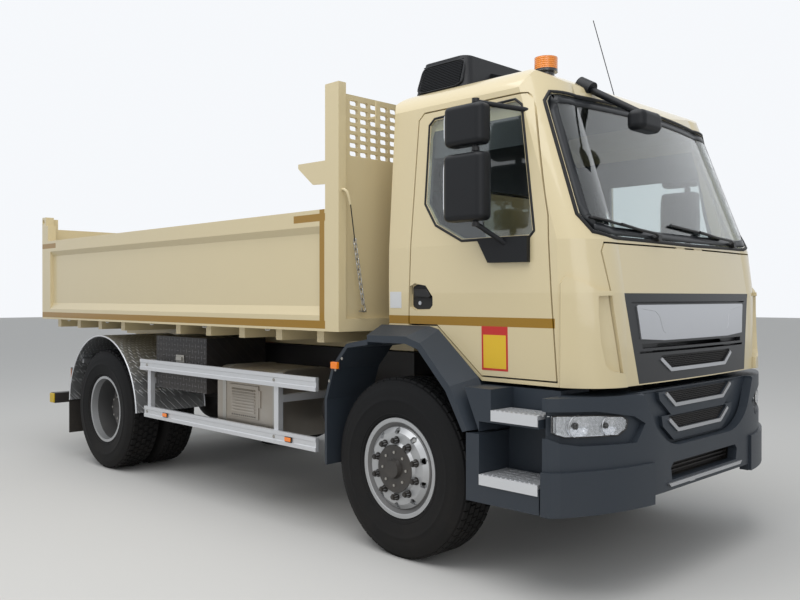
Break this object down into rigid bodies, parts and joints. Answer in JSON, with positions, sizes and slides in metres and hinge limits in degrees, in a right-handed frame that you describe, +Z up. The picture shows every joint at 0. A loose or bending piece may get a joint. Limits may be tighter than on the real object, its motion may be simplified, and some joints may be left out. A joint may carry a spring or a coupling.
{
  "type": "two-axle tipping lorry",
  "caption": "Cab-over two-axle lorry with a cream day cab, a rear-tipping dropside-height body with a mesh-topped headboard, side guards and twin rear wheels.",
  "frame": {"origin": "ground level, midway along the whole length, on the centre line", "axes": "+X forward, +Y to the lorry's left, +Z up"},
  "size_m": [6.363, 2.54, 3.4707],
  "materials": {
    "cream_paint": "gloss cream paint",
    "chassis_paint": "satin dark chassis paint",
    "dark_plastic": "grained dark blue-grey plastic",
    "black_plastic": "black plastic",
    "tyre": "black rubber",
    "flap_rubber": "black rubber sheet",
    "silver_wheel": "silver wheel enamel",
    "aluminium": "mill aluminium",
    "stainless": "brushed stainless",
    "silver_trim": "satin silver and bright strip",
    "glass": "lightly tinted glass",
    "lamp_glass": "clear lamp cover",
    "amber": "amber lens",
    "red_lens": "red lens",
    "red_paint": "red enamel",
    "bright_steel": "ground ram steel",
    "cast": "cast iron, dark paint",
    "interior": "grey cab plastic",
    "seat_fabric": "dark woven seat cloth"
  },
  "bodies": {
    "chassis": {"frame_rails": "chassis_paint", "tipping_subframe": "chassis_paint", "engine": "cast", "front_axle": "chassis_paint", "rear_axle": "chassis_paint", "bumper": "dark_plastic", "bumper_strips": "silver_trim", "headlamps": "lamp_glass", "step_boxes": "dark_plastic", "step_treads": "aluminium", "front_arches": "dark_plastic", "side_guards": "aluminium", "rear_mudguards": "aluminium", "mudflaps": "flap_rubber", "silencer": "stainless", "fuel_tank": "aluminium", "air_tanks": "chassis_paint", "lockers": "black_plastic", "underrun_bar": "chassis_paint", "rear_lamps": "red_lens"},
    "cab": {"cab_shell": "cream_paint", "cab_glass": "glass", "roof_unit": "black_plastic", "beacon": "amber", "aerial": "black_plastic", "dashboard": "interior", "seats": "seat_fabric", "front_mirror": "black_plastic"},
    "front_lid": {"front_lid": "cream_paint", "grille": "black_plastic", "grille_trim": "silver_trim"},
    "door_right": {"door_right": "cream_paint", "window_right": "glass", "mirrors_right": "black_plastic"},
    "door_left": {"door_left": "cream_paint", "window_left": "glass", "mirrors_left": "black_plastic"},
    "knuckle_right": {"knuckle_right": "cast"},
    "knuckle_left": {"knuckle_left": "cast"},
    "wheel_front_right": {"tyre_front_right": "tyre", "rim_front_right": "silver_wheel"},
    "wheel_front_left": {"tyre_front_left": "tyre", "rim_front_left": "silver_wheel"},
    "wheels_rear_right": {"tyres_rear_right": "tyre", "rims_rear_right": "silver_wheel"},
    "wheels_rear_left": {"tyres_rear_left": "tyre", "rims_rear_left": "silver_wheel"},
    "bed": {"bed_floor": "cream_paint", "bed_sides": "cream_paint", "headboard": "cream_paint"},
    "tailgate": {"tailgate": "cream_paint"},
    "ram_barrel": {"ram_barrel": "red_paint"},
    "ram_stage_1": {"ram_stage_1": "bright_steel"},
    "ram_stage_2": {"ram_stage_2": "bright_steel"},
    "ram_stage_3": {"ram_stage_3": "bright_steel"}
  },
  "joints": [
    {"name": "cab_tilt", "type": "hinge", "parent": "chassis", "child": "cab", "pos_m": [3.0225, 0, 0.66], "axis": [0, 1, 0], "range_deg": [0, 50]},
    {"name": "door_right_swing", "type": "hinge", "parent": "cab", "child": "door_right", "pos_m": [2.8575, -1.066, 1.6], "axis": [0, 0, 1], "range_deg": [0, 75]},
    {"name": "door_left_swing", "type": "hinge", "parent": "cab", "child": "door_left", "pos_m": [2.8575, 1.066, 1.6], "axis": [0, 0, -1], "range_deg": [0, 75]},
    {"name": "front_lid_lift", "type": "hinge", "parent": "cab", "child": "front_lid", "pos_m": [3.0615, 0, 1.8375], "axis": [0, -1, 0], "range_deg": [0, 70]},
    {"name": "steer_left", "type": "hinge", "parent": "chassis", "child": "knuckle_left", "pos_m": [1.7975, 0.93, 0.538], "axis": [0, 0, 1], "range_deg": [-38, 38]},
    {"name": "steer_right", "type": "hinge", "parent": "chassis", "child": "knuckle_right", "pos_m": [1.7975, -0.93, 0.538], "axis": [0, 0, 1], "range_deg": [-38, 38]},
    {"name": "wheel_front_left_spin", "type": "hinge", "parent": "knuckle_left", "child": "wheel_front_left", "pos_m": [1.7975, 1.015, 0.538], "axis": [0, 1, 0], "continuous": true},
    {"name": "wheel_front_right_spin", "type": "hinge", "parent": "knuckle_right", "child": "wheel_front_right", "pos_m": [1.7975, -1.015, 0.538], "axis": [0, 1, 0], "continuous": true},
    {"name": "wheels_rear_left_spin", "type": "hinge", "parent": "chassis", "child": "wheels_rear_left", "pos_m": [-1.9525, 0.8845, 0.538], "axis": [0, 1, 0], "continuous": true},
    {"name": "wheels_rear_right_spin", "type": "hinge", "parent": "chassis", "child": "wheels_rear_right", "pos_m": [-1.9525, -0.8845, 0.538], "axis": [0, 1, 0], "continuous": true},
    {"name": "bed_tip", "type": "hinge", "parent": "chassis", "child": "bed", "pos_m": [-2.8025, 0, 1.08], "axis": [0, -1, 0], "range_deg": [0, 50]},
    {"name": "tailgate_swing", "type": "hinge", "parent": "bed", "child": "tailgate", "pos_m": [-3.1475, 0, 2.31], "axis": [0, 1, 0], "range_deg": [0, 90]},
    {"name": "ram_tilt", "type": "hinge", "parent": "chassis", "child": "ram_barrel", "pos_m": [-1.1525, 0, 1], "axis": [0, -1, 0], "range_deg": [0, 26.72]},
    {"name": "ram_stage_1_slide", "type": "slide", "parent": "ram_barrel", "child": "ram_stage_1", "axis": [0, 0, 1], "range_m": [0, 0.4572]},
    {"name": "ram_stage_2_slide", "type": "slide", "parent": "ram_stage_1", "child": "ram_stage_2", "axis": [0, 0, 1], "range_m": [0, 0.4572]},
    {"name": "ram_stage_3_slide", "type": "slide", "parent": "ram_stage_2", "child": "ram_stage_3", "axis": [0, 0, 1], "range_m": [0, 0.4572]}
  ],
  "couplings": [
    {"joint": "steer_right", "follows": "steer_left", "ratio": 1},
    {"joint": "ram_tilt", "follows": "bed_tip", "ratio": 0.53249},
    {"joint": "ram_stage_1_slide", "follows": "bed_tip", "m_per_rad": 0.5233},
    {"joint": "ram_stage_2_slide", "follows": "bed_tip", "m_per_rad": 0.5233},
    {"joint": "ram_stage_3_slide", "follows": "bed_tip", "m_per_rad": 0.5233}
  ]
}
